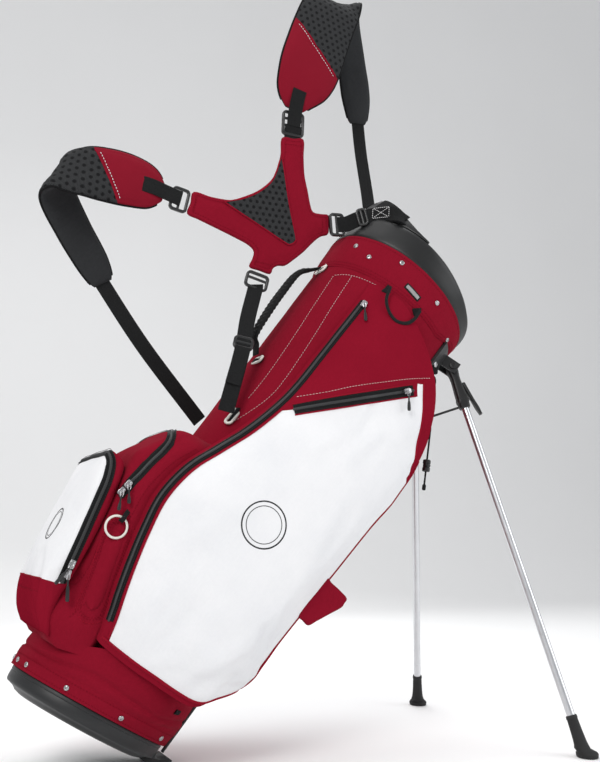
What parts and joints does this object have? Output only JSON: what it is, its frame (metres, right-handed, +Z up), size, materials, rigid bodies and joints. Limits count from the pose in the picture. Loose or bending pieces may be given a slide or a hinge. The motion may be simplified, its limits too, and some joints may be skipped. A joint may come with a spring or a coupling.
{
  "type": "golf stand bag",
  "caption": "Leaning golf stand bag: elliptical tube with padded pockets, moulded collar and handle, folding legs worked by a base pedal, and a shoulder harness.",
  "frame": {"origin": "on the ground, on the pedal sole, straight below the lowest edge of the base ring; legs open and the bag leaning as in use", "axes": "+X towards the side the bag leans to (the legs), +Y towards the far side, +Z up from the ground"},
  "size_m": [0.8135, 0.515, 1.2643],
  "materials": {
    "crimson_fabric": "plain woven polyester, crimson",
    "white_fabric": "coated woven polyester, white",
    "black_webbing": "black webbing and mesh",
    "black_plastic": "satin black moulding",
    "grey_plastic": "dark grey moulding",
    "black_rubber": "matt rubber",
    "steel": "plated",
    "aluminium_tube": "satin anodised",
    "white_plastic": "off-white moulding"
  },
  "bodies": {
    "bag": {"accessory_pocket": "crimson_fabric", "ball_pocket": "white_fabric", "body_tube": "crimson_fabric", "buckle_handle": "black_plastic", "buckle_left_pad": "black_plastic", "buckle_near_slot": "black_plastic", "buckle_right_pad": "black_plastic", "bungee_cord": "black_webbing", "club_divider": "black_plastic", "divider_sheet": "black_webbing", "garment_pocket_far": "white_fabric", "garment_pocket_near": "white_fabric", "grab_handle": "black_webbing", "handle_anchor_lower": "white_plastic", "handle_anchor_upper": "white_plastic", "leg_bracket": "grey_plastic", "lift_handle": "black_plastic", "pivot_pin_far": "steel", "pivot_pin_near": "steel", "rod_guide": "grey_plastic", "shoulder_pad_left": "crimson_fabric", "shoulder_pad_right": "crimson_fabric", "spine_stay": "grey_plastic", "stay_rod_far": "grey_plastic", "stay_rod_near": "grey_plastic", "strap_hub": "crimson_fabric", "strap_slot_far": "white_plastic", "strap_slot_near": "white_plastic", "top_collar": "black_plastic", "umbrella_sleeve": "crimson_fabric", "upper_cuff": "crimson_fabric", "webbing_handle": "black_webbing", "webbing_left_pad": "black_webbing", "webbing_near_slot": "black_webbing", "webbing_right_pad": "black_webbing"},
    "base": {"base_cup": "grey_plastic", "lower_cuff": "crimson_fabric", "pedal_pin": "steel"},
    "pedal": {"base_pedal": "black_plastic"},
    "rod": {"actuator_rod": "steel", "rod_crosshead": "grey_plastic"},
    "leg_near": {"leg_yoke_near": "black_plastic", "leg_tube_near": "aluminium_tube", "leg_foot_near": "black_rubber"},
    "leg_far": {"leg_yoke_far": "black_plastic", "leg_tube_far": "aluminium_tube", "leg_foot_far": "black_rubber"},
    "link_near": {"leg_link_near": "steel"},
    "link_far": {"leg_link_far": "steel"},
    "zip_garment_near": {"zip_slider_garment_near": "steel"},
    "pull_garment_near": {"zip_pull_garment_near": "black_plastic"},
    "zip_garment_far": {"zip_slider_garment_far": "steel"},
    "zip_upper": {"zip_slider_upper": "steel"},
    "pull_upper": {"zip_pull_upper": "black_plastic"},
    "zip_accessory": {"zip_slider_accessory": "steel"},
    "zip_ball": {"zip_slider_ball": "steel"},
    "cord_lock": {"cord_lock": "black_plastic"},
    "towel_loop": {"towel_loop": "black_webbing"},
    "tool_ring": {"tool_ring": "white_plastic"},
    "strap_adjuster": {"strap_adjuster": "black_plastic"}
  },
  "joints": [
    {"name": "leg_near_fold", "type": "hinge", "parent": "bag", "child": "leg_near", "pos_m": [0.48969, -0.06, 0.6004], "axis": [0.3466, 0.9138, -0.2115], "range_deg": [0, 48.79]},
    {"name": "leg_far_fold", "type": "hinge", "parent": "bag", "child": "leg_far", "pos_m": [0.48969, 0.06, 0.6004], "axis": [-0.3466, 0.9138, 0.2115], "range_deg": [0, 48.79]},
    {"name": "rod_slide", "type": "slide", "parent": "bag", "child": "rod", "axis": [-0.6357, 0, -0.7719], "range_m": [0, 0.0425]},
    {"name": "base_flex", "type": "hinge", "parent": "bag", "child": "base", "pos_m": [-0.10392, 0, 0.068], "axis": [0, 1, 0], "range_deg": [0, 8]},
    {"name": "pedal_hinge", "type": "hinge", "parent": "base", "child": "pedal", "pos_m": [-0.0751, 0, 0.04593], "axis": [0, 1, 0], "range_deg": [0, 23]},
    {"name": "link_near_swing", "type": "hinge", "parent": "leg_near", "child": "link_near", "pos_m": [0.50419, -0.06774, 0.53541], "axis": [-0.5191, -0.854, -0.0355], "range_deg": [0, 77.55]},
    {"name": "link_far_swing", "type": "hinge", "parent": "leg_far", "child": "link_far", "pos_m": [0.50419, 0.06774, 0.53541], "axis": [0.5191, -0.854, 0.0355], "range_deg": [0, 77.55]},
    {"name": "zip_garment_near", "type": "slide", "parent": "bag", "child": "zip_garment_near", "axis": [-0.6388, -0.0363, -0.7685], "range_m": [0, 0.165]},
    {"name": "pull_garment_near", "type": "hinge", "parent": "zip_garment_near", "child": "pull_garment_near", "pos_m": [0.28975, -0.12534, 0.68073], "axis": [-0.971, 0.2391, 0], "range_deg": [0, 60]},
    {"name": "zip_garment_far", "type": "slide", "parent": "bag", "child": "zip_garment_far", "axis": [-0.6388, 0.0363, -0.7685], "range_m": [0, 0.165]},
    {"name": "zip_upper", "type": "slide", "parent": "bag", "child": "zip_upper", "axis": [-0.9814, 0, -0.1918], "range_m": [0, 0.15]},
    {"name": "pull_upper", "type": "hinge", "parent": "zip_upper", "child": "pull_upper", "pos_m": [0.34669, -0.1601, 0.5408], "axis": [-1, 0, 0], "range_deg": [0, 60]},
    {"name": "zip_accessory", "type": "slide", "parent": "bag", "child": "zip_accessory", "axis": [0.691, 0, 0.7228], "range_m": [0, 0.09]},
    {"name": "zip_ball", "type": "slide", "parent": "bag", "child": "zip_ball", "axis": [0.3976, 0, 0.9176], "range_m": [0, 0.06]},
    {"name": "cord_lock_slide", "type": "slide", "parent": "bag", "child": "cord_lock", "axis": [-0.1514, 0, -0.9885], "range_m": [-0.012, 0.02]},
    {"name": "towel_loop_flap", "type": "hinge", "parent": "bag", "child": "towel_loop", "pos_m": [0.33522, -0.1275, 0.70966], "axis": [-0.8134, 0.0978, 0.5734], "range_deg": [0, 60]},
    {"name": "tool_ring_swing", "type": "hinge", "parent": "bag", "child": "tool_ring", "pos_m": [-0.07823, -0.106, 0.34615], "axis": [-0.788, 0, 0.6157], "range_deg": [0, 70]},
    {"name": "strap_adjuster_slide", "type": "slide", "parent": "bag", "child": "strap_adjuster", "axis": [-0.267, -0.3142, -0.911], "range_m": [-0.03, 0.004]}
  ],
  "couplings": [
    {"joint": "leg_far_fold", "follows": "leg_near_fold", "ratio": 1},
    {"joint": "rod_slide", "follows": "leg_near_fold", "m_per_rad": 0.048},
    {"joint": "pedal_hinge", "follows": "leg_near_fold", "ratio": 0.46},
    {"joint": "link_near_swing", "follows": "leg_near_fold", "ratio": 1.5771},
    {"joint": "link_far_swing", "follows": "leg_near_fold", "ratio": 1.5771}
  ]
}
